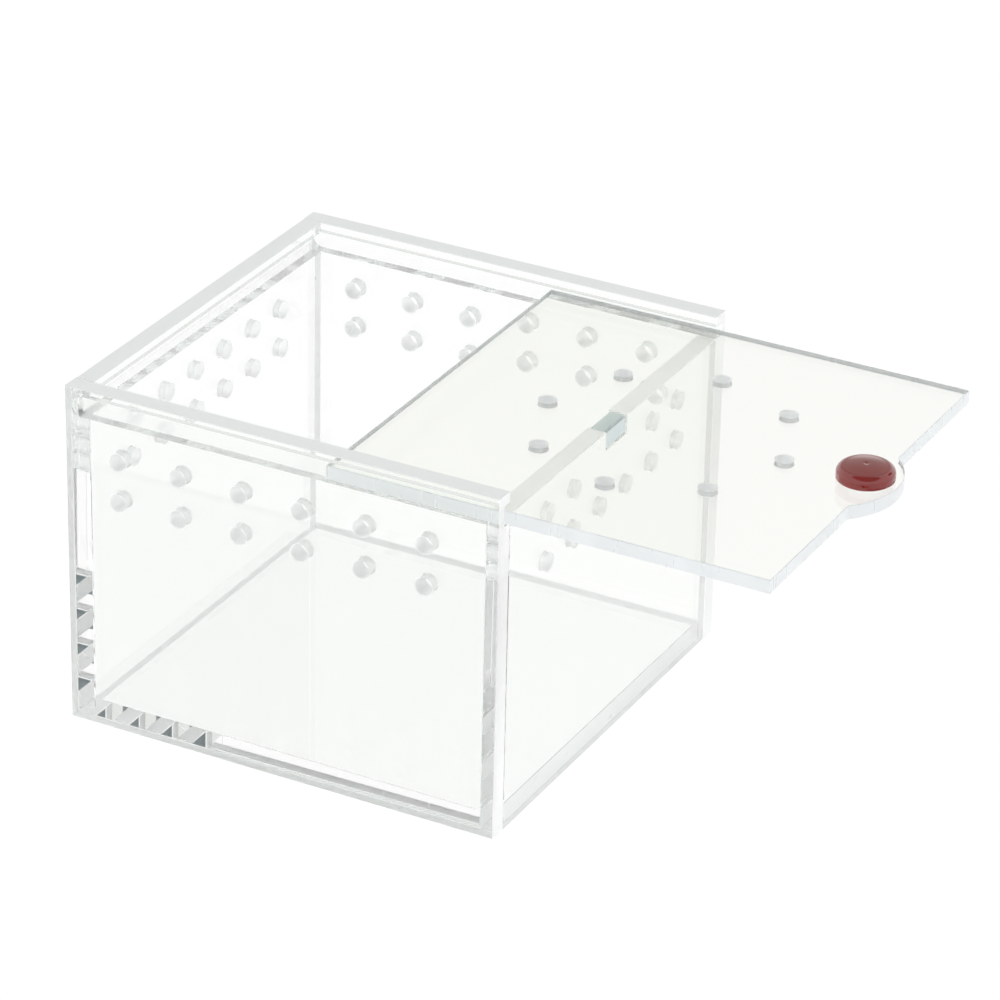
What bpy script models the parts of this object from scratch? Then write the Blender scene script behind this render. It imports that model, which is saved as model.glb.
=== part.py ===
"""Queen cage: a clear acrylic box glued from five panels, with a sliding lid, a knob and a catch magnet.

Units are metres and +Z is up. The origin is the centre of the base's underside, and the lid slides out
towards +X. Glued pieces stand GLUE_GAP apart, where the cement would be.
"""
import math

import bmesh
import bpy
from mathutils import Matrix

# Box
BOX_LENGTH = 0.0650          # along X, outside
BOX_WIDTH = 0.0654           # along Y, outside
BOX_HEIGHT = 0.0500
SHEET = 0.0028               # wall and base thickness: nominal 3 mm sheet
GLUE_GAP = 0.0003

# Groove that the lid runs in, milled in both side panels and the rear panel
LIP_HEIGHT = 0.0015          # material left above the groove
GROOVE_HEIGHT = 0.0030
GROOVE_DEPTH = 0.0015

# Vent holes: two rows in every wall
VENT_DIAMETER = 0.0025
VENT_COLUMNS = 6
VENT_ROW_Z = (0.0346, 0.0406)
SIDE_VENT_PITCH = 0.00923
SIDE_VENT_CENTRE_X = -0.0014
END_VENT_PITCH = 0.0076
END_VENT_CENTRE_Y = 0.0004
COLUMNS_UNDER_MAGNET = (2, 3)    # the front panel's upper row has no holes under the catch magnet

# Sliding lid
LID_LENGTH = 0.0630
LID_WIDTH = 0.0620
LID_SHEET = 0.0020
LID_CLEARANCE = 0.0002       # between the lid and the floor and sides of its groove
LID_FRONT_X = 0.0695         # front edge as modelled, part way out
TAB_RADIUS = 0.0109
TAB_REACH = 0.00335          # how far the round tab stands out past the front edge
LID_VENTS = 8
LID_VENT_CIRCLE_RADIUS = 0.0173
LID_VENT_CENTRE_INSET = 0.0300   # centre of the circle of vents, back from the front edge

# Knob on the lid's tab, and the magnet hidden in it
KNOB_RADIUS = 0.0039
KNOB_HEIGHT = 0.0022
KNOB_INSET = 0.0012          # knob's axis, back from the lid's front edge
KNOB_GLUE_GAP = 0.0002
KNOB_SHOULDER_RADIUS = 0.0008
KNOB_CROWN = 0.00018         # how far the domed top rises above its shoulder
KNOB_PIP_RADIUS = 0.0004
KNOB_PIP_DEPTH = 0.00008
KNOB_MAGNET_RADIUS = 0.0022
KNOB_MAGNET_HEIGHT = 0.0009

# Catch magnet, set in a notch in the front panel's top edge
CATCH_MAGNET_SIZE = (0.0025, 0.0061, 0.0027)
CATCH_NOTCH_CLEARANCE = 0.0002

HOLE_SEGMENTS = 24
ARC_SEGMENTS = 20
TURNED_SEGMENTS = 40
THROUGH = 0.001              # how far a cutter runs past the faces that it cuts
MERGE_DISTANCE = 0.00001

GROOVE_FLOOR_Z = BOX_HEIGHT - LIP_HEIGHT - GROOVE_HEIGHT
INNER_HALF_LENGTH = BOX_LENGTH / 2 - SHEET
INNER_HALF_WIDTH = BOX_WIDTH / 2 - SHEET
END_PANEL_WIDTH = 2 * (INNER_HALF_WIDTH - GLUE_GAP)
LID_BOTTOM_Z = GROOVE_FLOOR_Z + LID_CLEARANCE

CLEAR_ACRYLIC = (0.93, 0.96, 0.94, 1.0)
LID_ACRYLIC = (0.95, 0.96, 0.91, 1.0)
RED_PLASTIC = (0.20, 0.010, 0.008, 1.0)
NICKEL = (0.55, 0.58, 0.60, 1.0)


def clear_scene():
    for item in list(bpy.data.objects):
        bpy.data.objects.remove(item, do_unlink=True)


def new_collection(name):
    collection = bpy.data.collections.new(name)
    bpy.context.scene.collection.children.link(collection)
    return collection


def material(name, colour, roughness, metallic=0.0, transmission=0.0):
    result = bpy.data.materials.new(name)
    result.use_nodes = True
    shader = result.node_tree.nodes["Principled BSDF"]
    shader.inputs["Base Color"].default_value = colour
    shader.inputs["Roughness"].default_value = roughness
    shader.inputs["Metallic"].default_value = metallic
    shader.inputs["Transmission Weight"].default_value = transmission
    shader.inputs["IOR"].default_value = 1.49
    return result


def object_from_bmesh(name, mesh_data, collection, location=(0, 0, 0)):
    bmesh.ops.recalc_face_normals(mesh_data, faces=mesh_data.faces[:])
    mesh = bpy.data.meshes.new(name)
    mesh_data.to_mesh(mesh)
    mesh_data.free()
    result = bpy.data.objects.new(name, mesh)
    result.location = location
    collection.objects.link(result)
    return result


def block(name, size, centre, collection):
    """A box of the given size, with its origin at its centre."""
    shape = bmesh.new()
    bmesh.ops.create_cube(shape, size=1.0)
    bmesh.ops.scale(shape, vec=size, verts=shape.verts[:])
    return object_from_bmesh(name, shape, collection, centre)


def drills(name, centres, axis, length, collection):
    """One cutter holding a cylinder at each centre, all along the same axis, X, Y or Z."""
    turn = {"X": Matrix.Rotation(math.pi / 2, 4, "Y"), "Y": Matrix.Rotation(math.pi / 2, 4, "X"),
            "Z": Matrix.Identity(4)}[axis]
    shape = bmesh.new()
    for centre in centres:
        bmesh.ops.create_cone(shape, cap_ends=True, segments=HOLE_SEGMENTS, radius1=VENT_DIAMETER / 2,
                              radius2=VENT_DIAMETER / 2, depth=length,
                              matrix=Matrix.Translation(centre) @ turn)
    return object_from_bmesh(name, shape, collection)


def plate(name, outline, thickness, collection):
    """A flat plate from a closed outline in the XY plane, with its mid-plane at z = 0."""
    curve = bpy.data.curves.new(name + "_outline", "CURVE")
    curve.dimensions = "2D"
    curve.fill_mode = "BOTH"
    curve.extrude = thickness / 2
    spline = curve.splines.new("POLY")
    spline.points.add(len(outline) - 1)
    for point, (x, y) in zip(spline.points, outline):
        point.co = (x, y, 0, 1)
    spline.use_cyclic_u = True
    drawn = bpy.data.objects.new(name + "_outline", curve)
    collection.objects.link(drawn)
    bpy.context.view_layer.update()
    evaluated = drawn.evaluated_get(bpy.context.evaluated_depsgraph_get())
    flat = bpy.data.meshes.new_from_object(evaluated)
    shape = bmesh.new()
    shape.from_mesh(flat)
    bmesh.ops.remove_doubles(shape, verts=shape.verts[:], dist=MERGE_DISTANCE)
    result = object_from_bmesh(name, shape, collection)
    result.matrix_world = drawn.matrix_world
    bpy.data.objects.remove(drawn, do_unlink=True)
    bpy.data.meshes.remove(flat)
    return result


def turned(name, profile, collection, location):
    """A solid of revolution about Z. The profile is (radius, height) points, down the outer side."""
    mesh = bpy.data.meshes.new(name)
    mesh.from_pydata([(radius, 0, height) for radius, height in profile],
                     [(i, i + 1) for i in range(len(profile) - 1)], [])
    result = bpy.data.objects.new(name, mesh)
    result.location = location
    collection.objects.link(result)
    screw = result.modifiers.new("turn", "SCREW")
    screw.steps = TURNED_SEGMENTS
    screw.render_steps = TURNED_SEGMENTS
    screw.use_merge_vertices = True
    screw.merge_threshold = MERGE_DISTANCE
    screw.use_smooth_shade = True
    return result


def cut(target, cutter):
    modifier = target.modifiers.new("cut_" + cutter.name, "BOOLEAN")
    modifier.operation = "DIFFERENCE"
    modifier.solver = "EXACT"
    modifier.object = cutter
    cutter.hide_render = True
    cutter.display_type = "WIRE"


def finish(target, name, colour, roughness, metallic=0.0, transmission=0.0):
    target.data.materials.append(material(name, colour, roughness, metallic, transmission))


def vent_columns(pitch, centre):
    return [centre + (i - (VENT_COLUMNS - 1) / 2) * pitch for i in range(VENT_COLUMNS)]


def groove_outline():
    """Side view of a side panel's groove: a slot that is open at the front and round at the rear."""
    radius = GROOVE_HEIGHT / 2
    rear_x = -BOX_LENGTH / 2 + GROOVE_DEPTH / 2
    front_x = BOX_LENGTH / 2 + THROUGH
    arc = [math.pi / 2 + math.pi * i / ARC_SEGMENTS for i in range(ARC_SEGMENTS + 1)]
    rounded = [(rear_x + radius + radius * math.cos(a), radius * math.sin(a)) for a in arc]
    return rounded + [(front_x, -radius), (front_x, radius)]


def make_side_panel(name, side, parts, cutters):
    """A side panel at the -Y side (side = -1) or the +Y side (side = +1)."""
    centre_y = side * (BOX_WIDTH - SHEET) / 2
    panel = block(name, (BOX_LENGTH, SHEET, BOX_HEIGHT), (0, centre_y, BOX_HEIGHT / 2), parts)
    groove = plate(name + "_groove", groove_outline(), GROOVE_DEPTH + THROUGH, cutters)
    groove.rotation_euler = (math.pi / 2, 0, 0)
    groove_y = side * (INNER_HALF_WIDTH + (GROOVE_DEPTH - THROUGH) / 2)
    groove.location = (0, groove_y, GROOVE_FLOOR_Z + GROOVE_HEIGHT / 2)
    cut(panel, groove)
    centres = [(x, centre_y, z) for z in VENT_ROW_Z for x in vent_columns(SIDE_VENT_PITCH, SIDE_VENT_CENTRE_X)]
    cut(panel, drills(name + "_vents", centres, "Y", SHEET + 2 * THROUGH, cutters))
    finish(panel, name, CLEAR_ACRYLIC, 0.03, transmission=1.0)


def make_rear_panel(parts, cutters):
    name = "rear_end_panel"
    centre_x = -(BOX_LENGTH - SHEET) / 2
    panel = block(name, (SHEET, END_PANEL_WIDTH, BOX_HEIGHT), (centre_x, 0, BOX_HEIGHT / 2), parts)
    groove_x = -INNER_HALF_LENGTH - (GROOVE_DEPTH - THROUGH) / 2
    groove = block(name + "_groove", (GROOVE_DEPTH + THROUGH, BOX_WIDTH, GROOVE_HEIGHT),
                   (groove_x, 0, GROOVE_FLOOR_Z + GROOVE_HEIGHT / 2), cutters)
    cut(panel, groove)
    centres = [(centre_x, y, z) for z in VENT_ROW_Z for y in vent_columns(END_VENT_PITCH, END_VENT_CENTRE_Y)]
    cut(panel, drills(name + "_vents", centres, "X", SHEET + 2 * THROUGH, cutters))
    finish(panel, name, CLEAR_ACRYLIC, 0.03, transmission=1.0)


def make_front_panel(parts, cutters):
    """The low end panel: the lid slides out over it, and the catch magnet sits in its top edge."""
    name = "front_end_panel"
    centre_x = (BOX_LENGTH - SHEET) / 2
    panel = block(name, (SHEET, END_PANEL_WIDTH, GROOVE_FLOOR_Z), (centre_x, 0, GROOVE_FLOOR_Z / 2), parts)
    notch_width = CATCH_MAGNET_SIZE[1] + 2 * CATCH_NOTCH_CLEARANCE
    notch_depth = CATCH_MAGNET_SIZE[2] + CATCH_NOTCH_CLEARANCE
    notch_z = GROOVE_FLOOR_Z + (THROUGH - notch_depth) / 2
    notch = block(name + "_notch", (SHEET + 2 * THROUGH, notch_width, notch_depth + THROUGH),
                  (centre_x, 0, notch_z), cutters)
    cut(panel, notch)
    columns = vent_columns(END_VENT_PITCH, END_VENT_CENTRE_Y)
    lower_row, upper_row = VENT_ROW_Z
    centres = [(centre_x, y, lower_row) for y in columns]
    centres += [(centre_x, y, upper_row) for i, y in enumerate(columns) if i not in COLUMNS_UNDER_MAGNET]
    cut(panel, drills(name + "_vents", centres, "X", SHEET + 2 * THROUGH, cutters))
    finish(panel, name, CLEAR_ACRYLIC, 0.03, transmission=1.0)


def make_base_panel(parts):
    """The base lies inside the four walls, flush with their lower edges."""
    size = (2 * (INNER_HALF_LENGTH - GLUE_GAP), END_PANEL_WIDTH, SHEET)
    panel = block("base_panel", size, (0, 0, SHEET / 2), parts)
    finish(panel, "base_panel", CLEAR_ACRYLIC, 0.03, transmission=1.0)


def make_catch_magnet(parts):
    centre = ((BOX_LENGTH - SHEET) / 2, 0, GROOVE_FLOOR_Z - CATCH_MAGNET_SIZE[2] / 2)
    magnet = block("catch_magnet", CATCH_MAGNET_SIZE, centre, parts)
    finish(magnet, "catch_magnet", NICKEL, 0.25, metallic=1.0)


def lid_outline():
    """Rectangle with a round tab in the middle of its front edge, which lies on x = 0."""
    tab_centre_x = TAB_REACH - TAB_RADIUS
    half_angle = math.acos(-tab_centre_x / TAB_RADIUS)
    arc = [-half_angle + 2 * half_angle * i / ARC_SEGMENTS for i in range(ARC_SEGMENTS + 1)]
    tab = [(tab_centre_x + TAB_RADIUS * math.cos(a), TAB_RADIUS * math.sin(a)) for a in arc]
    half = LID_WIDTH / 2
    return [(-LID_LENGTH, -half), (0, -half)] + tab + [(0, half), (-LID_LENGTH, half)]


def make_lid(slide, parts, cutters):
    lid = plate("sliding_lid", lid_outline(), LID_SHEET, parts)
    lid.parent = slide
    angles = [2 * math.pi * i / LID_VENTS for i in range(LID_VENTS)]
    centre_x = LID_FRONT_X - LID_VENT_CENTRE_INSET
    lid_mid_z = LID_BOTTOM_Z + LID_SHEET / 2
    centres = [(centre_x + LID_VENT_CIRCLE_RADIUS * math.cos(a), LID_VENT_CIRCLE_RADIUS * math.sin(a), lid_mid_z)
               for a in angles]
    cut(lid, drills("sliding_lid_vents", centres, "Z", LID_SHEET + 2 * THROUGH, cutters))
    finish(lid, "sliding_lid", LID_ACRYLIC, 0.03, transmission=1.0)


def knob_profile():
    """Half section of the knob, from the top of its axis round to the pocket's roof on the axis."""
    shoulder_z = KNOB_HEIGHT - KNOB_CROWN
    flat_radius = KNOB_RADIUS - KNOB_SHOULDER_RADIUS
    pocket_radius = KNOB_MAGNET_RADIUS + KNOB_GLUE_GAP
    pocket_height = KNOB_MAGNET_HEIGHT + KNOB_GLUE_GAP
    crown = [KNOB_PIP_RADIUS + (flat_radius - KNOB_PIP_RADIUS) * i / 4 for i in range(4)]
    points = [(0, KNOB_HEIGHT - KNOB_PIP_DEPTH)]
    points += [(r, shoulder_z + KNOB_CROWN * (1 - (r / flat_radius) ** 2)) for r in crown]
    for i in range(7):
        angle = math.pi / 2 * (1 - i / 6)
        points.append((flat_radius + KNOB_SHOULDER_RADIUS * math.cos(angle),
                       shoulder_z - KNOB_SHOULDER_RADIUS * (1 - math.sin(angle))))
    points += [(KNOB_RADIUS, 0), (pocket_radius, 0), (pocket_radius, pocket_height), (0, pocket_height)]
    return points


def make_knob(slide, parts):
    seat_z = LID_SHEET / 2 + KNOB_GLUE_GAP
    knob = turned("knob_cap", knob_profile(), parts, (-KNOB_INSET, 0, seat_z))
    knob.parent = slide
    finish(knob, "knob_cap", RED_PLASTIC, 0.12)
    disc = [(0, KNOB_MAGNET_HEIGHT), (KNOB_MAGNET_RADIUS, KNOB_MAGNET_HEIGHT), (KNOB_MAGNET_RADIUS, 0), (0, 0)]
    magnet = turned("knob_magnet", disc, parts, (-KNOB_INSET, 0, seat_z))
    magnet.parent = slide
    finish(magnet, "knob_magnet", NICKEL, 0.25, metallic=1.0)


def main():
    clear_scene()
    parts = new_collection("queen_cage")
    cutters = new_collection("queen_cage_cutters")
    make_base_panel(parts)
    make_side_panel("left_side_panel", -1, parts, cutters)
    make_side_panel("right_side_panel", 1, parts, cutters)
    make_rear_panel(parts, cutters)
    make_front_panel(parts, cutters)
    make_catch_magnet(parts)
    slide = bpy.data.objects.new("lid_slide", None)
    slide.location = (LID_FRONT_X, 0, LID_BOTTOM_Z + LID_SHEET / 2)
    parts.objects.link(slide)
    make_lid(slide, parts, cutters)
    make_knob(slide, parts)
    bpy.context.view_layer.update()


main()
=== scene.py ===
"""Looks of the clear acrylic queen cage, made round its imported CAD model.

Shapes are drawn in millimetres in the model's own frame and scaled to metres as each piece is made.
Each fine piece stands for one CAD node, takes its size from that node's box and rides on its body.
Panels that are cemented together meet at faces that bend no light, so that one panel looks into the next.
"""

import math

import bmesh
import bpy
from mathutils import Matrix, Vector


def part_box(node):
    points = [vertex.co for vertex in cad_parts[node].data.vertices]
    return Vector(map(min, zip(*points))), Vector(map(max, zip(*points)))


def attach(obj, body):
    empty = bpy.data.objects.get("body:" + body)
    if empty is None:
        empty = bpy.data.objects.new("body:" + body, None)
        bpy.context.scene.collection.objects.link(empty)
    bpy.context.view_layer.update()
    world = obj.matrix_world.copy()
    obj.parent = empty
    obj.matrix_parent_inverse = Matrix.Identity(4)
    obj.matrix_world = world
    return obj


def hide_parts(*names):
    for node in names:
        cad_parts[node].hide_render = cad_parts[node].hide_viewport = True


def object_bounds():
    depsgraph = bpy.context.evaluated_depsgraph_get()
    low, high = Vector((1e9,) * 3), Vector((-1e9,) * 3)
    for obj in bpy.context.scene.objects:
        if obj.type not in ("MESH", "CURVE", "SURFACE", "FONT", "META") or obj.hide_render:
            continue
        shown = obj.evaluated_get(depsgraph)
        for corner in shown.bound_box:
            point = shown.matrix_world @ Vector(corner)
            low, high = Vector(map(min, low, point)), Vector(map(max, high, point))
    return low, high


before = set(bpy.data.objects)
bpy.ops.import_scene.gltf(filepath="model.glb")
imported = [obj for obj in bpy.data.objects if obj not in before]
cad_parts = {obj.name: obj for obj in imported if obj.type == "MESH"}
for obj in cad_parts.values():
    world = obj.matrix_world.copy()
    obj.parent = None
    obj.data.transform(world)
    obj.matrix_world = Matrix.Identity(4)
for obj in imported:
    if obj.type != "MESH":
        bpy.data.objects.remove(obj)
CAD_LOW, CAD_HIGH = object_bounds()

MM = 0.001

# Panels
ARRIS = 0.10                 # chamfer along the sheet's edges and round the vents
BASE_ARRIS = 0.03            # the base's edges, filled with cement
CEMENT_LINE = 0.02           # what is left between two cemented faces
LIP_HEIGHT = 1.5             # above the lid's groove
GROOVE_DEPTH = 1.5
VENT_RADIUS = 1.25
VENT_COLUMNS = 6
VENT_ROW_Z = (34.6, 40.6)
SIDE_VENT_PITCH, SIDE_VENT_CENTRE_X = 9.23, -1.4
END_VENT_PITCH, END_VENT_CENTRE_Y = 7.6, 0.4
COLUMNS_UNDER_MAGNET = (2, 3)    # these have no upper vent

# Lid
TAB_RADIUS, TAB_REACH = 10.9, 3.35
LID_VENTS = 8
LID_VENT_CIRCLE = 17.3       # radius of the circle that they stand on
LID_VENT_INSET = 30.0        # its centre, back from the front edge

# Knob
KNOB_PIP_RADIUS, KNOB_PIP_DEPTH = 0.45, 0.16
KNOB_SHOULDER = 1.05         # radius of the rounded shoulder
KNOB_CROWN = 0.28            # how far the crown rises above the shoulder
KNOB_FOOT = 0.12             # chamfer where the knob's side meets the lid
POCKET_GAP = 0.1             # between the knob and the magnet in it

# Catch magnet
MAGNET_CHAMFER = 0.3
MAGNET_FIT = 0.05            # between the magnet and its notch

# Meshes
CIRCLE_STEPS = 64
TURNED_STEPS = 96
CROWN_STEPS, SHOULDER_STEPS = 10, 12
PAST = 1.0                   # how far a cutter runs past the faces that it cuts
WELD = 0.0005                # points nearer than this are one point
CUT_TOLERANCE = 1e-5
FACE_ON = 0.9                # a sheet's own faces have at least this much of their normal across the sheet
SMOOTH_ANGLE, KNOB_SMOOTH_ANGLE = 30, 40

# Tints, as linear colours
SHEET_TINT = (0.970, 0.979, 0.969, 1)
LID_TINT = (0.977, 0.979, 0.950, 1)
LID_CUT_TINT = (0.90, 0.93, 0.94, 1)
FROST_TINT = (0.982, 0.99, 0.986, 1)
# grey of the planed top edges: painted shade over the ground face's own milky haze
PLANED_SHADE_TINT = (0.81, 0.83, 0.82, 1)
CEMENT_TINT = (0.86, 0.88, 0.87, 1)
RED_DEEP, RED_BRIGHT = (0.155, 0.005, 0.003, 1), (0.235, 0.012, 0.008, 1)
NICKEL_DULL, NICKEL_BRIGHT = (0.56, 0.65, 0.68, 1), (0.68, 0.76, 0.79, 1)

# Lowest and highest share of light that a rough face scatters, where the rest goes through
FROST_SCATTER = (0.60, 0.70)
PLANED_SCATTER = (0.88, 0.94)
CUT_SCATTER = (0.74, 0.80)
CEMENT_HAZE = (0.0, 0.10)

# Lowest and highest roughness
HANDLED_ROUGH = (0.0, 0.004)
MILLED_ROUGH = (0.15, 0.25)
GROUND_ROUGH = (0.45, 0.6)
CUT_ROUGH = (0.27, 0.33)
CEMENT_ROUGH = 0.4
RED_ROUGH = (0.03, 0.09)
NICKEL_ROUGH = (0.14, 0.28)

# Refraction, coat and relief, the last in metres
ACRYLIC_IOR, RED_IOR = 1.49, 1.5
RED_COAT, RED_COAT_ROUGH = 0.4, 0.04
RED_RELIEF, NICKEL_RELIEF = 0.000004, 0.000003

# Noise
NOISE_MIDDLE = (0.3, 0.7)    # where most of a noise texture's values lie
ALONG_X, ALONG_Z = (0.1, 1, 1), (1, 1, 0.08)      # noise drawn out along one axis

# Studio, in metres
SKY = (1.38, 1.38, 1.39, 1)
STUDIO_CARDS = (
    # azimuth, elevation, reach and softness in degrees, then the colour
    (119, 42, 24, 8, (0.78, 0.80, 0.78)),
    (58, 29, 8, 3, (0.16, 0.19, 0.20)),      # the dark steps along the glued corners reflect this one
    (-61, 68, 36, 3, (0.38, 0.38, 0.38)),
)
FLOOR_HALF_SIZE, FLOOR_CELLS = 1.5, 8
FLOOR_DROP = 0.0002          # below the cage, so that the two don't coincide
FLOOR_COLOUR = (0.06, 0.06, 0.06, 1)
FLOOR_ROUGH = 0.9
FLOOR_GLOW = 0.97

# Camera
CAMERA_AT = (0.28568, -0.51784, 0.33230)
CAMERA_TURN = (1.0944, -0.0197, 0.4912)
CAMERA_LENS, CAMERA_SENSOR = 175.9, 36
CAMERA_NEAR = 0.01


def box_mm(node):
    low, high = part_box(node)
    return low / MM, high / MM


# ---------------------------------------------------------------- materials


def new_material(name):
    mat = bpy.data.materials.new(name)
    mat.use_nodes = True
    return mat, mat.node_tree, mat.node_tree.nodes["Principled BSDF"]


def node(tree, kind, **settings):
    made = tree.nodes.new(kind)
    for key, value in settings.items():
        if key in made.inputs:
            made.inputs[key].default_value = value
        else:
            setattr(made, key, value)
    return made


def link(tree, output, target):
    tree.links.new(output, target)


def place(tree, stretch=(1, 1, 1)):
    """Object coordinates in metres, stretched along the object's axes."""
    coordinates = node(tree, "ShaderNodeTexCoord")
    mapping = node(tree, "ShaderNodeMapping")
    mapping.inputs["Scale"].default_value = stretch
    link(tree, coordinates.outputs["Object"], mapping.inputs["Vector"])
    return mapping.outputs["Vector"]


def noise(tree, scale, detail=3.0, stretch=(1, 1, 1)):
    texture = node(tree, "ShaderNodeTexNoise", Scale=scale, Detail=detail)
    link(tree, place(tree, stretch), texture.inputs["Vector"])
    return texture.outputs["Fac"]


def mapped(tree, value, old_range, new_range):
    """A value taken from one range to another and held inside it."""
    reach = node(tree, "ShaderNodeMapRange")
    for name, limit in zip(("From Min", "From Max", "To Min", "To Max"), (*old_range, *new_range)):
        reach.inputs[name].default_value = limit
    link(tree, value, reach.inputs["Value"])
    return reach.outputs["Result"]


def calc(tree, operation, first, second):
    sums = node(tree, "ShaderNodeMath", operation=operation)
    for socket, value in zip(sums.inputs, (first, second)):
        if isinstance(value, (int, float)):
            socket.default_value = value
        else:
            link(tree, value, socket)
    return sums.outputs["Value"]


def total(tree, first, *others):
    for value in others:
        first = calc(tree, "ADD", first, value)
    return first


def varied(tree, share, texture, new_range, old_range=NOISE_MIDDLE):
    """A face's share times a value that wanders over the new range with the texture."""
    return calc(tree, "MULTIPLY", share, mapped(tree, texture, old_range, new_range))


def face_mark(tree, name):
    return node(tree, "ShaderNodeAttribute", attribute_name=name).outputs["Fac"]


def bump(tree, height, distance):
    made = node(tree, "ShaderNodeBump", Distance=distance, Strength=1.0)
    link(tree, height, made.inputs["Height"])
    return made.outputs["Normal"]


def tinted(tree, under, share, colour):
    """The colour under it, a value or an output, mixed with another by a face's share."""
    mix = node(tree, "ShaderNodeMixRGB")
    if isinstance(under, tuple):
        mix.inputs["Color1"].default_value = under
    else:
        link(tree, under, mix.inputs["Color1"])
    mix.inputs["Color2"].default_value = colour
    link(tree, share, mix.inputs["Fac"])
    return mix.outputs["Color"]


def make_acrylic(name, tint, cut_tint):
    """Clear sheet with polished faces.

    It is frosted where it was sawn or bored, milky and painted a shade grey where its top edge was planed,
    and satin where it was milled or laser-cut.
    """
    mat, tree, shader = new_material(name)
    shader.inputs["IOR"].default_value = ACRYLIC_IOR
    frosted = calc(tree, "MAXIMUM", face_mark(tree, "sawn"), face_mark(tree, "bored"))
    planed, lasered, milled = (face_mark(tree, work) for work in ("planed", "lasered", "milled"))

    tone = tinted(tree, tint, frosted, FROST_TINT)
    # the planed top edges get painted shade, a grey darker than the other frosted faces
    tone = tinted(tree, tone, planed, PLANED_SHADE_TINT)
    link(tree, tinted(tree, tone, lasered, cut_tint), shader.inputs["Base Color"])

    fine = noise(tree, scale=800, detail=4.0)
    scatter = total(tree, varied(tree, frosted, fine, FROST_SCATTER),
                    varied(tree, planed, fine, PLANED_SCATTER), varied(tree, lasered, fine, CUT_SCATTER))
    link(tree, calc(tree, "SUBTRACT", 1.0, scatter), shader.inputs["Transmission Weight"])

    smears = noise(tree, scale=90, detail=4.0)
    strokes = noise(tree, scale=900, detail=2.0, stretch=ALONG_X)
    grain = noise(tree, scale=1500, detail=2.0)
    striae = noise(tree, scale=1500, detail=2.0, stretch=ALONG_Z)
    ground = calc(tree, "MAXIMUM", frosted, planed)
    rough = total(tree, mapped(tree, smears, (0.55, 0.75), HANDLED_ROUGH),
                  varied(tree, milled, strokes, MILLED_ROUGH), varied(tree, ground, grain, GROUND_ROUGH),
                  varied(tree, lasered, striae, CUT_ROUGH, (0.35, 0.65)))
    link(tree, rough, shader.inputs["Roughness"])
    return mat


def make_cement():
    """A cemented face: light goes straight through it, but for a faint haze where the cement ran thin."""
    mat, tree, shader = new_material("clear_cement")
    shader.inputs["Base Color"].default_value = CEMENT_TINT
    shader.inputs["Roughness"].default_value = CEMENT_ROUGH
    clear = node(tree, "ShaderNodeBsdfTransparent")
    mix = node(tree, "ShaderNodeMixShader")
    link(tree, mapped(tree, noise(tree, scale=420), (0.66, 0.74), CEMENT_HAZE), mix.inputs["Fac"])
    link(tree, clear.outputs["BSDF"], mix.inputs[1])
    link(tree, shader.outputs["BSDF"], mix.inputs[2])
    link(tree, mix.outputs["Shader"], tree.nodes["Material Output"].inputs["Surface"])
    return mat


def make_red_plastic():
    mat, tree, shader = new_material("red_plastic")
    link(tree, tinted(tree, RED_DEEP, noise(tree, scale=500), RED_BRIGHT), shader.inputs["Base Color"])
    rough = mapped(tree, noise(tree, scale=1400, detail=4.0), (0.35, 0.75), RED_ROUGH)
    link(tree, rough, shader.inputs["Roughness"])
    shader.inputs["IOR"].default_value = RED_IOR
    shader.inputs["Coat Weight"].default_value = RED_COAT
    shader.inputs["Coat Roughness"].default_value = RED_COAT_ROUGH
    link(tree, bump(tree, noise(tree, scale=2500, detail=2.0), RED_RELIEF), shader.inputs["Normal"])
    return mat


def make_nickel():
    mat, tree, shader = new_material("nickel_plate")
    tone = tinted(tree, NICKEL_DULL, noise(tree, scale=900, detail=4.0), NICKEL_BRIGHT)
    link(tree, tone, shader.inputs["Base Color"])
    shader.inputs["Metallic"].default_value = 1.0
    link(tree, mapped(tree, noise(tree, scale=1800), NOISE_MIDDLE, NICKEL_ROUGH), shader.inputs["Roughness"])
    link(tree, bump(tree, noise(tree, scale=4000, detail=2.0), NICKEL_RELIEF), shader.inputs["Normal"])
    return mat


# ---------------------------------------------------------------- meshes


def circle(centre, radius, steps=CIRCLE_STEPS):
    turn = [2 * math.pi * i / steps for i in range(steps)]
    return [(centre[0] + radius * math.cos(a), centre[1] + radius * math.sin(a)) for a in turn]


def rectangle(low, high):
    return [(low[0], low[1]), (high[0], low[1]), (high[0], high[1]), (low[0], high[1])]


def evaluated_mesh(drawn):
    return bpy.data.meshes.new_from_object(drawn.evaluated_get(bpy.context.evaluated_depsgraph_get()))


def sheet(name, outline, thickness, holes=(), arris=ARRIS):
    """A flat plate in the XY plane, its middle at z = 0, with round holes and chamfered edges."""
    curve = bpy.data.curves.new(name, "CURVE")
    curve.dimensions = "2D"
    curve.fill_mode = "BOTH"
    curve.extrude = thickness / 2 - arris
    curve.bevel_depth = arris
    curve.bevel_resolution = 0
    curve.offset = -arris
    for loop in [outline] + [circle(hole, VENT_RADIUS) for hole in holes]:
        spline = curve.splines.new("POLY")
        spline.points.add(len(loop) - 1)
        for point, (x, y) in zip(spline.points, loop):
            point.co = (x, y, 0, 1)
        spline.use_cyclic_u = True
    drawn = bpy.data.objects.new(name, curve)
    bpy.context.scene.collection.objects.link(drawn)
    bpy.context.view_layer.update()
    mesh = evaluated_mesh(drawn)
    bpy.data.objects.remove(drawn, do_unlink=True)
    bpy.data.curves.remove(curve)
    made = bmesh.new()
    made.from_mesh(mesh)
    bmesh.ops.remove_doubles(made, verts=made.verts[:], dist=WELD)
    bmesh.ops.recalc_face_normals(made, faces=made.faces[:])
    made.to_mesh(mesh)
    made.free()
    mesh.materials.clear()
    return mesh


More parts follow.
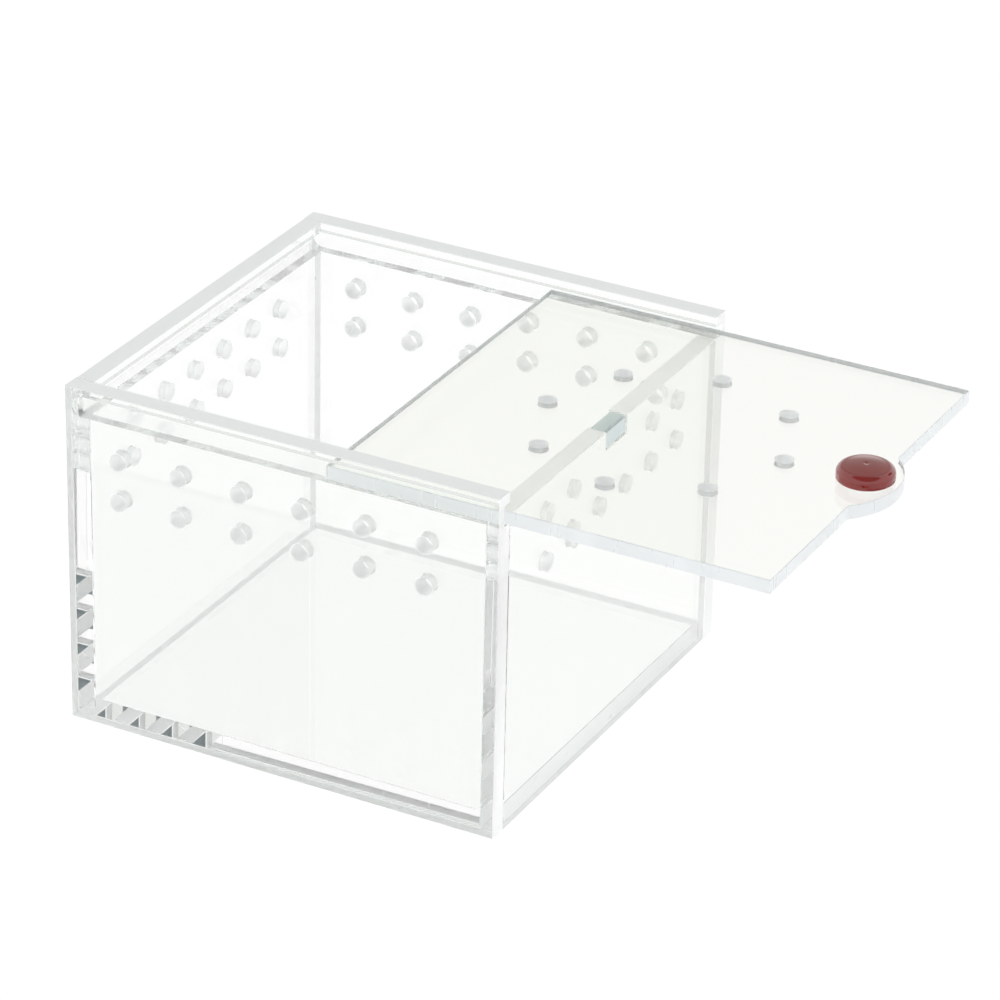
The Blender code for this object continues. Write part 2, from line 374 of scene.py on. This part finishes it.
# The sheet's x and y become world X and Z in a side panel, and world Y and Z in an end panel.
UPRIGHT_SIDE = Matrix.Rotation(math.pi / 2, 4, "X")
UPRIGHT_END = Matrix(((0, 0, 1, 0), (1, 0, 0, 0), (0, 1, 0, 0), (0, 0, 0, 1)))


def stood(mesh, turn, centre):
    """A mesh turned upright and moved to its centre, still in millimetres."""
    mesh.transform(Matrix.Translation(centre) @ turn)
    return mesh


def cut_away(mesh, cutter_mesh):
    """The mesh less the cutter."""
    body = bpy.data.objects.new("body", mesh)
    cutter = bpy.data.objects.new("cutter", cutter_mesh)
    for item in (body, cutter):
        bpy.context.scene.collection.objects.link(item)
    modifier = body.modifiers.new("cut", "BOOLEAN")
    modifier.operation = "DIFFERENCE"
    modifier.solver = "EXACT"
    modifier.object = cutter
    bpy.context.view_layer.update()
    result = evaluated_mesh(body)
    for item in (body, cutter):
        bpy.data.objects.remove(item, do_unlink=True)
    return result


def split_at(mesh, cuts):
    """Cuts the mesh's faces along planes, each an axis index and a position, and keeps both sides."""
    made = bmesh.new()
    made.from_mesh(mesh)
    for axis, position in cuts:
        normal = Vector((0, 0, 0))
        normal[axis] = 1
        bmesh.ops.bisect_plane(made, geom=made.verts[:] + made.edges[:] + made.faces[:],
                               dist=CUT_TOLERANCE, plane_co=normal * position, plane_no=normal)
    made.to_mesh(mesh)
    made.free()
    return mesh


def mark(mesh, name, rule):
    """Sets each face's mark to 1 where the rule holds and to 0 elsewhere."""
    layer = mesh.attributes.new(name, "FLOAT", "FACE")
    for face in mesh.polygons:
        layer.data[face.index].value = float(rule(face.center, face.normal))


def piece(name, mesh, body, cad_node, materials, is_cemented=None, smooth_angle=SMOOTH_ANGLE):
    """Makes the object, in metres, and ties it to its CAD node, body and finish."""
    for mat in materials:
        mesh.materials.append(mat)
    if is_cemented is not None:
        for face in mesh.polygons:
            face.material_index = 1 if is_cemented(face.center, face.normal) else 0
    mesh.transform(Matrix.Scale(MM, 4))
    mesh.shade_smooth()
    mesh.set_sharp_from_angle(angle=math.radians(smooth_angle))
    made = bpy.data.objects.new(name, mesh)
    bpy.context.scene.collection.objects.link(made)
    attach(made, body)
    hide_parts(cad_node)
    return made


# ---------------------------------------------------------------- the box


def vent_columns(pitch, centre):
    return [centre + (i - (VENT_COLUMNS - 1) / 2) * pitch for i in range(VENT_COLUMNS)]


def vent_rows(columns):
    return [(c, z) for z in VENT_ROW_Z for c in columns]


def in_a_vent(across, up, vents):
    return any(math.hypot(across - c, up - z) < VENT_RADIUS + 2 * ARRIS for c, z in vents)


class Shape:
    """What the panels share, read from the CAD boxes, in millimetres."""

    side_low, side_high = box_mm("right_side_panel")
    rear_low, rear_high = box_mm("rear_end_panel")
    front_low, front_high = box_mm("front_end_panel")
    base_low, base_high = box_mm("base_panel")
    lid_low, lid_high = box_mm("sliding_lid")
    height = side_high.z
    half_length = side_high.x
    half_width = side_high.y
    wall = side_high.y - side_low.y
    inner_x = half_length - wall
    inner_y = half_width - wall
    floor = base_high.z                  # top of the base
    groove_floor = front_high.z
    groove_roof = height - LIP_HEIGHT
    cut_line = ARRIS + WELD              # how far a sawn edge and its chamfer reach into the sheet


def groove_slot():
    """Side view of a side panel's groove, open at the front and round at the rear, as x and z."""
    radius = (Shape.groove_roof - Shape.groove_floor) / 2
    middle = (Shape.groove_roof + Shape.groove_floor) / 2
    rear = -Shape.half_length + GROOVE_DEPTH / 2 + radius
    steps = CIRCLE_STEPS // 2
    arc = [math.pi / 2 + math.pi * i / steps for i in range(steps + 1)]
    loop = [(rear + radius * math.cos(a), middle + radius * math.sin(a)) for a in arc]
    past_front = Shape.half_length + PAST
    return loop + [(past_front, middle - radius), (past_front, middle + radius)]


def is_in_groove(depth, up):
    """Whether a point is on the groove's floor, roof or back, from its depth in the panel and its height."""
    in_slot = Shape.groove_floor - WELD < up < Shape.groove_roof + WELD
    return in_slot and WELD < depth < GROOVE_DEPTH + WELD


def is_sawn(at, normal):
    """The walls' feet and the side panels' ends, below the top edge."""
    is_end = abs(at.x) > Shape.half_length - Shape.cut_line and abs(at.y) > Shape.inner_y
    return at.z < Shape.cut_line or (is_end and at.z < Shape.height - Shape.cut_line)


def make_side_panel(name, side, materials):
    """The panel on the -Y side, where side is -1, or on the +Y side, where it is +1."""
    vents = vent_rows(vent_columns(SIDE_VENT_PITCH, SIDE_VENT_CENTRE_X))
    outline = rectangle((-Shape.half_length, 0), (Shape.half_length, Shape.height))
    centre_y = side * (Shape.half_width - Shape.wall / 2)
    mesh = stood(sheet(name, outline, Shape.wall, vents), UPRIGHT_SIDE, (0, centre_y, 0))
    groove = sheet(name + "_groove", groove_slot(), GROOVE_DEPTH + PAST, arris=0.0)
    stood(groove, UPRIGHT_SIDE, (0, side * (Shape.inner_y + (GROOVE_DEPTH - PAST) / 2), 0))
    mesh = cut_away(mesh, groove)
    split_at(mesh, [(0, -Shape.inner_x), (0, Shape.inner_x), (2, Shape.floor), (2, Shape.groove_floor)])
    inner = side * Shape.inner_y

    def is_milled(at, normal):
        return is_in_groove(side * (at.y - inner), at.z) and abs(at.x) < Shape.half_length - ARRIS

    def is_cemented(at, normal):
        if abs(at.y - inner) > WELD:
            return False
        at_rear = at.x < -Shape.inner_x
        at_front = at.x > Shape.inner_x and at.z < Shape.groove_floor
        return at_rear or at_front or at.z < Shape.floor

    mark(mesh, "milled", is_milled)
    mark(mesh, "bored", lambda at, normal: abs(normal.y) < FACE_ON and in_a_vent(at.x, at.z, vents))
    mark(mesh, "sawn", is_sawn)
    mark(mesh, "planed", lambda at, normal: at.z > Shape.height - Shape.cut_line)
    return piece(name + "_sheet", mesh, "box", name, materials, is_cemented)


def make_end_panel(name, low, high, vents, notch, materials):
    """An end panel between the side panels, notched or, where it has no notch, grooved.

    Its ends and a strip along its foot are cemented, but the cement hasn't wetted the notched one's +Y end.
    """
    grooved = notch is None
    half = Shape.inner_y - CEMENT_LINE
    outline = rectangle((-half, low.z), (half, high.z))
    centre_x = (low.x + high.x) / 2
    mesh = stood(sheet(name, outline, Shape.wall, vents), UPRIGHT_END, (centre_x, 0, 0))
    outward = math.copysign(1, centre_x)
    inner = outward * Shape.inner_x
    if grooved:
        slot = rectangle((-Shape.half_width, Shape.groove_floor), (Shape.half_width, Shape.groove_roof))
        groove = sheet(name + "_groove", slot, GROOVE_DEPTH + PAST, arris=0.0)
        stood(groove, UPRIGHT_END, (inner + outward * (GROOVE_DEPTH - PAST) / 2, 0, 0))
        mesh = cut_away(mesh, groove)
    else:
        cutter = sheet(name + "_notch", notch, Shape.wall + 2 * PAST, arris=0.0)
        mesh = cut_away(mesh, stood(cutter, UPRIGHT_END, (centre_x, 0, 0)))
    split_at(mesh, [(2, Shape.floor)])

    def is_milled(at, normal):
        return grooved and is_in_groove(outward * (at.x - inner), at.z)

    def is_dry_end(at):
        return not grooved and at.y > half - WELD

    def is_cemented(at, normal):
        at_end = abs(at.y) > half - WELD and not is_dry_end(at)
        at_foot = abs(at.x - inner) < WELD and at.z < Shape.floor
        return at_end or at_foot

    def is_frosted(at, normal):
        return is_sawn(at, normal) or is_dry_end(at) or (not grooved and at.z > high.z - Shape.cut_line)

    mark(mesh, "milled", is_milled)
    mark(mesh, "bored", lambda at, normal: abs(normal.x) < FACE_ON and in_a_vent(at.y, at.z, vents))
    mark(mesh, "sawn", is_frosted)
    mark(mesh, "planed", lambda at, normal: grooved and at.z > high.z - Shape.cut_line)
    return piece(name + "_sheet", mesh, "box", name, materials, is_cemented)


def make_rear_panel(materials):
    """The full-height end panel, with the groove that the closed lid's rear edge enters."""
    vents = vent_rows(vent_columns(END_VENT_PITCH, END_VENT_CENTRE_Y))
    return make_end_panel("rear_end_panel", Shape.rear_low, Shape.rear_high, vents, None, materials)


def make_front_panel(materials):
    """The low end panel, with a notch in its top edge for the catch magnet."""
    columns = vent_columns(END_VENT_PITCH, END_VENT_CENTRE_Y)
    lower, upper = VENT_ROW_Z
    vents = [(y, lower) for y in columns]
    vents += [(y, upper) for i, y in enumerate(columns) if i not in COLUMNS_UNDER_MAGNET]
    magnet_low, magnet_high = box_mm("catch_magnet")
    half = magnet_high.y + MAGNET_FIT
    notch = rectangle((-half, magnet_low.z - MAGNET_FIT), (half, Shape.front_high.z + PAST))
    return make_end_panel("front_end_panel", Shape.front_low, Shape.front_high, vents, notch, materials)


def make_base(materials):
    """The bottom, inside the walls. The cement hasn't wetted its front edge."""
    half_x = Shape.inner_x - CEMENT_LINE
    half_y = Shape.inner_y - CEMENT_LINE
    outline = rectangle((-half_x, -half_y), (half_x, half_y))
    mesh = sheet("base_panel", outline, Shape.floor, arris=BASE_ARRIS)
    mesh.transform(Matrix.Translation((0, 0, Shape.floor / 2)))

    def is_dry_edge(at, normal):
        return at.x > half_x - WELD

    def is_cemented(at, normal):
        return at.x < WELD - half_x or abs(at.y) > half_y - WELD

    mark(mesh, "sawn", is_dry_edge)
    return piece("base_panel_sheet", mesh, "box", "base_panel", materials, is_cemented)


def make_catch_magnet(nickel):
    low, high = box_mm("catch_magnet")
    made = bmesh.new()
    bmesh.ops.create_cube(made, size=1.0)
    bmesh.ops.scale(made, vec=high - low, verts=made.verts[:])
    bmesh.ops.translate(made, vec=(low + high) / 2, verts=made.verts[:])
    bmesh.ops.bevel(made, geom=made.edges[:], offset=MAGNET_CHAMFER, segments=1, affect="EDGES")
    mesh = bpy.data.meshes.new("catch_magnet_block")
    made.to_mesh(mesh)
    made.free()
    return piece("catch_magnet_block", mesh, "box", "catch_magnet", [nickel])


# ---------------------------------------------------------------- the lid


def lid_outline(low, high):
    """A rectangle with a round tab in the middle of its front edge."""
    front = high.x - TAB_REACH
    centre_x = high.x - TAB_RADIUS
    half_angle = math.acos((front - centre_x) / TAB_RADIUS)
    steps = CIRCLE_STEPS
    arc = [-half_angle + 2 * half_angle * i / steps for i in range(steps + 1)]
    tab = [(centre_x + TAB_RADIUS * math.cos(a), TAB_RADIUS * math.sin(a)) for a in arc]
    return [(low.x, low.y), (front, low.y)] + tab + [(front, high.y), (low.x, high.y)]


def make_lid(acrylic):
    low, high = Shape.lid_low, Shape.lid_high
    centre_x = high.x - TAB_REACH - LID_VENT_INSET
    vents = circle((centre_x, 0), LID_VENT_CIRCLE, LID_VENTS)
    mesh = sheet("sliding_lid", lid_outline(low, high), high.z - low.z, vents)
    mesh.transform(Matrix.Translation((0, 0, (low.z + high.z) / 2)))

    def is_bored(at, normal):
        return abs(normal.z) < FACE_ON and in_a_vent(at.x, at.y, vents)

    def is_lasered(at, normal):
        return abs(normal.z) < FACE_ON and not is_bored(at, normal)

    mark(mesh, "bored", is_bored)
    mark(mesh, "lasered", is_lasered)
    return piece("sliding_lid_sheet", mesh, "lid", "sliding_lid", [acrylic])


def put_in_order(made):
    """Sorts vertices and faces by place, because a spin leaves them in another order each run."""
    for parts, place_of in ((made.verts, lambda v: v.co), (made.faces, lambda f: f.calc_center_median())):
        ranked = sorted(parts, key=lambda part: place_of(part).to_tuple(5))
        rank = {part: i for i, part in enumerate(ranked)}
        parts.sort(key=rank.get)
        parts.index_update()


def knob_profile(radius, height, pocket_radius, pocket_height):
    """Half section of the knob, from the top of its axis round to the roof of the magnet's pocket."""
    shoulder = height - KNOB_CROWN
    crown = radius - KNOB_SHOULDER
    points = [(0, height - KNOB_PIP_DEPTH)]
    for i in range(1, CROWN_STEPS + 1):
        r = crown * i / CROWN_STEPS
        dip = KNOB_PIP_DEPTH * max(0, 1 - r / KNOB_PIP_RADIUS) ** 2
        points.append((r, shoulder + KNOB_CROWN * (1 - (r / crown) ** 2) - dip))
    for i in range(1, SHOULDER_STEPS + 1):
        a = math.pi / 2 * (1 - i / SHOULDER_STEPS)
        drop = KNOB_SHOULDER * (1 - math.sin(a))
        points.append((crown + KNOB_SHOULDER * math.cos(a), shoulder - drop))
    points += [(radius, KNOB_FOOT), (radius - KNOB_FOOT, 0), (pocket_radius, 0),
               (pocket_radius, pocket_height), (0, pocket_height)]
    return points


def make_knob(red):
    low, high = box_mm("knob_cap")
    magnet_low, magnet_high = box_mm("knob_magnet")
    centre = (low + high) / 2
    pocket_radius = (magnet_high.x - magnet_low.x) / 2 + POCKET_GAP
    pocket_height = magnet_high.z - low.z + POCKET_GAP
    profile = knob_profile((high.x - low.x) / 2, high.z - low.z, pocket_radius, pocket_height)
    made = bmesh.new()
    spin_verts = [made.verts.new((r, 0, z)) for r, z in profile]
    edges = [made.edges.new(pair) for pair in zip(spin_verts, spin_verts[1:])]
    bmesh.ops.spin(made, geom=spin_verts + edges, cent=(0, 0, 0), axis=(0, 0, 1), angle=2 * math.pi,
                   steps=TURNED_STEPS, use_duplicate=False)
    bmesh.ops.remove_doubles(made, verts=made.verts[:], dist=WELD)
    bmesh.ops.recalc_face_normals(made, faces=made.faces[:])
    bmesh.ops.translate(made, vec=(centre.x, centre.y, low.z), verts=made.verts[:])
    put_in_order(made)
    mesh = bpy.data.meshes.new("knob_cap")
    made.to_mesh(mesh)
    made.free()
    return piece("knob_cap_moulding", mesh, "lid", "knob_cap", [red],
                 smooth_angle=KNOB_SMOOTH_ANGLE)


# ---------------------------------------------------------------- studio


def make_floor():
    """A pale floor that glows as bright as the white behind the photographed cage."""
    made = bmesh.new()
    bmesh.ops.create_grid(made, x_segments=FLOOR_CELLS, y_segments=FLOOR_CELLS, size=FLOOR_HALF_SIZE)
    bmesh.ops.translate(made, vec=(0, 0, CAD_LOW.z - FLOOR_DROP), verts=made.verts[:])
    mesh = bpy.data.meshes.new("floor")
    made.to_mesh(mesh)
    made.free()
    floor = bpy.data.objects.new("floor", mesh)
    bpy.context.scene.collection.objects.link(floor)
    mat, tree, shader = new_material("pale_floor")
    shader.inputs["Base Color"].default_value = FLOOR_COLOUR
    shader.inputs["Roughness"].default_value = FLOOR_ROUGH
    shader.inputs["Specular IOR Level"].default_value = 0.0
    shader.inputs["Emission Color"].default_value = (1, 1, 1, 1)
    shader.inputs["Emission Strength"].default_value = FLOOR_GLOW
    mesh.materials.append(mat)


def hang_card(tree, direction, colour, azimuth, elevation, reach, softness, card):
    """A round patch of another brightness in the sky."""
    a, e = math.radians(azimuth), math.radians(elevation)
    dot = node(tree, "ShaderNodeVectorMath", operation="DOT_PRODUCT")
    dot.inputs[1].default_value = (math.cos(e) * math.cos(a), math.cos(e) * math.sin(a), math.sin(e))
    link(tree, direction, dot.inputs[0])
    rim = (math.cos(math.radians(reach + softness)), math.cos(math.radians(reach)))
    inside = mapped(tree, dot.outputs["Value"], rim, (0, 1))
    return tinted(tree, colour, inside, (*card, 1))


def make_world():
    world = bpy.data.worlds.new("studio")
    bpy.context.scene.world = world
    world.use_nodes = True
    tree = world.node_tree
    direction = node(tree, "ShaderNodeTexCoord").outputs["Generated"]
    colour = SKY
    for card in STUDIO_CARDS:
        colour = hang_card(tree, direction, colour, *card)
    link(tree, colour, tree.nodes["Background"].inputs["Color"])


def make_camera():
    data = bpy.data.cameras.new("camera")
    data.lens = CAMERA_LENS
    data.sensor_width = CAMERA_SENSOR
    data.clip_start = CAMERA_NEAR
    camera = bpy.data.objects.new("camera", data)
    camera.location = CAMERA_AT
    camera.rotation_euler = CAMERA_TURN
    bpy.context.scene.collection.objects.link(camera)
    bpy.context.scene.camera = camera


def set_light_paths():
    """Enough bounces to cross every sheet, and no glossy filter, which darkens frost seen through them."""
    scene = bpy.context.scene
    scene.view_settings.view_transform = "Standard"
    scene.cycles.max_bounces = 40
    scene.cycles.transmission_bounces = 40
    scene.cycles.diffuse_bounces = 16
    scene.cycles.glossy_bounces = 16
    scene.cycles.transparent_max_bounces = 48
    scene.cycles.blur_glossy = 0.0


def main():
    acrylic = make_acrylic("clear_acrylic", SHEET_TINT, FROST_TINT)
    lid_acrylic = make_acrylic("lid_acrylic", LID_TINT, LID_CUT_TINT)
    cement = make_cement()
    red = make_red_plastic()
    nickel = make_nickel()
    make_side_panel("left_side_panel", -1, [acrylic, cement])
    make_side_panel("right_side_panel", 1, [acrylic, cement])
    make_rear_panel([acrylic, cement])
    make_front_panel([acrylic, cement])
    make_base([acrylic, cement])
    make_catch_magnet(nickel)
    make_lid(lid_acrylic)
    make_knob(red)
    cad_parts["knob_magnet"].material_slots[0].material = nickel
    make_floor()
    make_world()
    make_camera()
    set_light_paths()


main()
